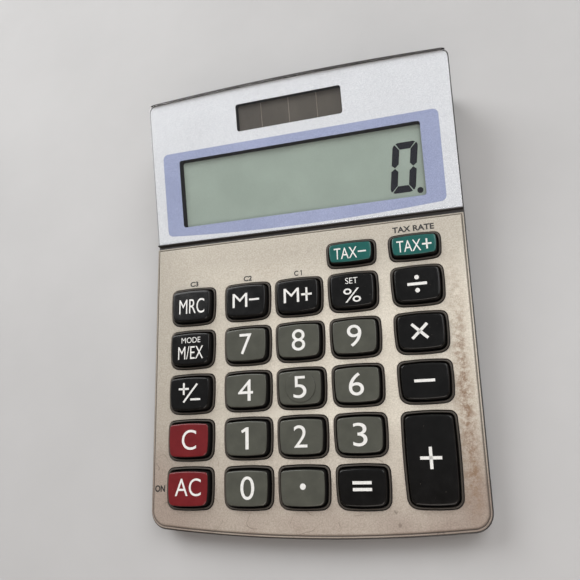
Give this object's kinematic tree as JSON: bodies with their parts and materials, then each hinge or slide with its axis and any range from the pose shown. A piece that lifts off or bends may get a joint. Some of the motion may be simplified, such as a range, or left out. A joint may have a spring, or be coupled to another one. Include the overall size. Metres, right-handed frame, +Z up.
{
  "type": "desktop calculator",
  "caption": "Wedge-shaped desktop calculator with a tilted display panel, a solar cell, a champagne keyboard plate and cushion keys in raised collars, one of them two rows tall.",
  "frame": {"origin": "on the table under the middle of the body: centre of the bounding box, at its lowest face", "axes": "+X to the user's right, +Y away from the user towards the display, +Z up"},
  "size_m": [0.103, 0.147, 0.0288],
  "materials": {
    "case_dark": "fine moulded grain",
    "case_rear": "fine moulded grain",
    "plate_champagne": "fine speckled champagne metallic, slightly soiled",
    "clear_window": "polished clear sheet",
    "print_silver": "pearl silver ink with a pale blue band",
    "tape_foam": "black foam tape",
    "lcd_glass": "grey-green reflective display glass",
    "solar_glass": "brown amorphous cell under glass",
    "flex_film": "amber film",
    "board_resin": "paper-resin board",
    "carbon": "printed carbon",
    "mat_rubber": "translucent grey silicone",
    "chip_epoxy": "glossy epoxy",
    "capacitor_sleeve": "shrink sleeve",
    "chip_ceramic": "ceramic chip bodies",
    "cell_steel": "nickel-plated steel",
    "contact_steel": "nickel-plated spring steel",
    "wire_red": "red insulation",
    "wire_black": "black insulation",
    "screw_steel": "zinc-plated",
    "foot_rubber": "matt rubber",
    "key_grey": "dark olive grey, satin",
    "key_black": "black, satin",
    "key_red": "dark red, satin",
    "key_green": "dark green, satin"
  },
  "bodies": {
    "case": {"front_case": "case_dark", "rear_case": "case_rear", "keyboard_plate": "plate_champagne", "display_panel": "clear_window", "panel_print": "print_silver", "panel_tape": "tape_foam", "lcd_glass": "lcd_glass", "lcd_holder": "case_dark", "lcd_flex": "flex_film", "solar_cell": "solar_glass", "main_board": "board_resin", "contact_pads": "carbon", "rubber_key_mat": "mat_rubber", "chip_blob": "chip_epoxy", "capacitor": "capacitor_sleeve", "chip_parts": "chip_ceramic", "battery_holder": "case_dark", "battery_cell": "cell_steel", "battery_spring": "contact_steel", "battery_clip": "contact_steel", "solar_wires": "wire_red", "battery_wires": "wire_black", "case_screws": "screw_steel", "board_screws": "screw_steel", "foot_front_left": "foot_rubber", "foot_front_right": "foot_rubber", "foot_rear_left": "foot_rubber", "foot_rear_right": "foot_rubber"},
    "key_mrc_body": {"key_mrc": "key_black"},
    "key_m_minus_body": {"key_m_minus": "key_black"},
    "key_m_plus_body": {"key_m_plus": "key_black"},
    "key_percent_body": {"key_percent": "key_black"},
    "key_divide_body": {"key_divide": "key_black"},
    "key_m_ex_body": {"key_m_ex": "key_black"},
    "key_7_body": {"key_7": "key_grey"},
    "key_8_body": {"key_8": "key_grey"},
    "key_9_body": {"key_9": "key_grey"},
    "key_multiply_body": {"key_multiply": "key_black"},
    "key_sign_body": {"key_sign": "key_black"},
    "key_4_body": {"key_4": "key_grey"},
    "key_5_body": {"key_5": "key_grey"},
    "key_6_body": {"key_6": "key_grey"},
    "key_minus_body": {"key_minus": "key_black"},
    "key_c_body": {"key_c": "key_red"},
    "key_1_body": {"key_1": "key_grey"},
    "key_2_body": {"key_2": "key_grey"},
    "key_3_body": {"key_3": "key_grey"},
    "key_plus_body": {"key_plus": "key_black"},
    "key_ac_body": {"key_ac": "key_red"},
    "key_0_body": {"key_0": "key_grey"},
    "key_point_body": {"key_point": "key_grey"},
    "key_equals_body": {"key_equals": "key_black"},
    "key_tax_minus_body": {"key_tax_minus": "key_green"},
    "key_tax_plus_body": {"key_tax_plus": "key_green"}
  },
  "joints": [
    {"name": "press_mrc", "type": "slide", "parent": "case", "child": "key_mrc_body", "axis": [0, 0.0698, -0.9976], "range_m": [0, 0.0012], "stiffness_N_per_m": 500, "deforming": ["rubber_key_mat"]},
    {"name": "press_m_minus", "type": "slide", "parent": "case", "child": "key_m_minus_body", "axis": [0, 0.0698, -0.9976], "range_m": [0, 0.0012], "stiffness_N_per_m": 500, "deforming": ["rubber_key_mat"]},
    {"name": "press_m_plus", "type": "slide", "parent": "case", "child": "key_m_plus_body", "axis": [0, 0.0698, -0.9976], "range_m": [0, 0.0012], "stiffness_N_per_m": 500, "deforming": ["rubber_key_mat"]},
    {"name": "press_percent", "type": "slide", "parent": "case", "child": "key_percent_body", "axis": [0, 0.0698, -0.9976], "range_m": [0, 0.0012], "stiffness_N_per_m": 500, "deforming": ["rubber_key_mat"]},
    {"name": "press_divide", "type": "slide", "parent": "case", "child": "key_divide_body", "axis": [0, 0.0698, -0.9976], "range_m": [0, 0.0012], "stiffness_N_per_m": 500, "deforming": ["rubber_key_mat"]},
    {"name": "press_m_ex", "type": "slide", "parent": "case", "child": "key_m_ex_body", "axis": [0, 0.0698, -0.9976], "range_m": [0, 0.0012], "stiffness_N_per_m": 500, "deforming": ["rubber_key_mat"]},
    {"name": "press_7", "type": "slide", "parent": "case", "child": "key_7_body", "axis": [0, 0.0698, -0.9976], "range_m": [0, 0.0012], "stiffness_N_per_m": 500, "deforming": ["rubber_key_mat"]},
    {"name": "press_8", "type": "slide", "parent": "case", "child": "key_8_body", "axis": [0, 0.0698, -0.9976], "range_m": [0, 0.0012], "stiffness_N_per_m": 500, "deforming": ["rubber_key_mat"]},
    {"name": "press_9", "type": "slide", "parent": "case", "child": "key_9_body", "axis": [0, 0.0698, -0.9976], "range_m": [0, 0.0012], "stiffness_N_per_m": 500, "deforming": ["rubber_key_mat"]},
    {"name": "press_multiply", "type": "slide", "parent": "case", "child": "key_multiply_body", "axis": [0, 0.0698, -0.9976], "range_m": [0, 0.0012], "stiffness_N_per_m": 500, "deforming": ["rubber_key_mat"]},
    {"name": "press_sign", "type": "slide", "parent": "case", "child": "key_sign_body", "axis": [0, 0.0698, -0.9976], "range_m": [0, 0.0012], "stiffness_N_per_m": 500, "deforming": ["rubber_key_mat"]},
    {"name": "press_4", "type": "slide", "parent": "case", "child": "key_4_body", "axis": [0, 0.0698, -0.9976], "range_m": [0, 0.0012], "stiffness_N_per_m": 500, "deforming": ["rubber_key_mat"]},
    {"name": "press_5", "type": "slide", "parent": "case", "child": "key_5_body", "axis": [0, 0.0698, -0.9976], "range_m": [0, 0.0012], "stiffness_N_per_m": 500, "deforming": ["rubber_key_mat"]},
    {"name": "press_6", "type": "slide", "parent": "case", "child": "key_6_body", "axis": [0, 0.0698, -0.9976], "range_m": [0, 0.0012], "stiffness_N_per_m": 500, "deforming": ["rubber_key_mat"]},
    {"name": "press_minus", "type": "slide", "parent": "case", "child": "key_minus_body", "axis": [0, 0.0698, -0.9976], "range_m": [0, 0.0012], "stiffness_N_per_m": 500, "deforming": ["rubber_key_mat"]},
    {"name": "press_c", "type": "slide", "parent": "case", "child": "key_c_body", "axis": [0, 0.0698, -0.9976], "range_m": [0, 0.0012], "stiffness_N_per_m": 500, "deforming": ["rubber_key_mat"]},
    {"name": "press_1", "type": "slide", "parent": "case", "child": "key_1_body", "axis": [0, 0.0698, -0.9976], "range_m": [0, 0.0012], "stiffness_N_per_m": 500, "deforming": ["rubber_key_mat"]},
    {"name": "press_2", "type": "slide", "parent": "case", "child": "key_2_body", "axis": [0, 0.0698, -0.9976], "range_m": [0, 0.0012], "stiffness_N_per_m": 500, "deforming": ["rubber_key_mat"]},
    {"name": "press_3", "type": "slide", "parent": "case", "child": "key_3_body", "axis": [0, 0.0698, -0.9976], "range_m": [0, 0.0012], "stiffness_N_per_m": 500, "deforming": ["rubber_key_mat"]},
    {"name": "press_plus", "type": "slide", "parent": "case", "child": "key_plus_body", "axis": [0, 0.0698, -0.9976], "range_m": [0, 0.0012], "stiffness_N_per_m": 700, "deforming": ["rubber_key_mat"]},
    {"name": "press_ac", "type": "slide", "parent": "case", "child": "key_ac_body", "axis": [0, 0.0698, -0.9976], "range_m": [0, 0.0012], "stiffness_N_per_m": 500, "deforming": ["rubber_key_mat"]},
    {"name": "press_0", "type": "slide", "parent": "case", "child": "key_0_body", "axis": [0, 0.0698, -0.9976], "range_m": [0, 0.0012], "stiffness_N_per_m": 500, "deforming": ["rubber_key_mat"]},
    {"name": "press_point", "type": "slide", "parent": "case", "child": "key_point_body", "axis": [0, 0.0698, -0.9976], "range_m": [0, 0.0012], "stiffness_N_per_m": 500, "deforming": ["rubber_key_mat"]},
    {"name": "press_equals", "type": "slide", "parent": "case", "child": "key_equals_body", "axis": [0, 0.0698, -0.9976], "range_m": [0, 0.0012], "stiffness_N_per_m": 500, "deforming": ["rubber_key_mat"]},
    {"name": "press_tax_minus", "type": "slide", "parent": "case", "child": "key_tax_minus_body", "axis": [0, 0.0698, -0.9976], "range_m": [0, 0.0012], "stiffness_N_per_m": 500, "deforming": ["rubber_key_mat"]},
    {"name": "press_tax_plus", "type": "slide", "parent": "case", "child": "key_tax_plus_body", "axis": [0, 0.0698, -0.9976], "range_m": [0, 0.0012], "stiffness_N_per_m": 500, "deforming": ["rubber_key_mat"]}
  ]
}
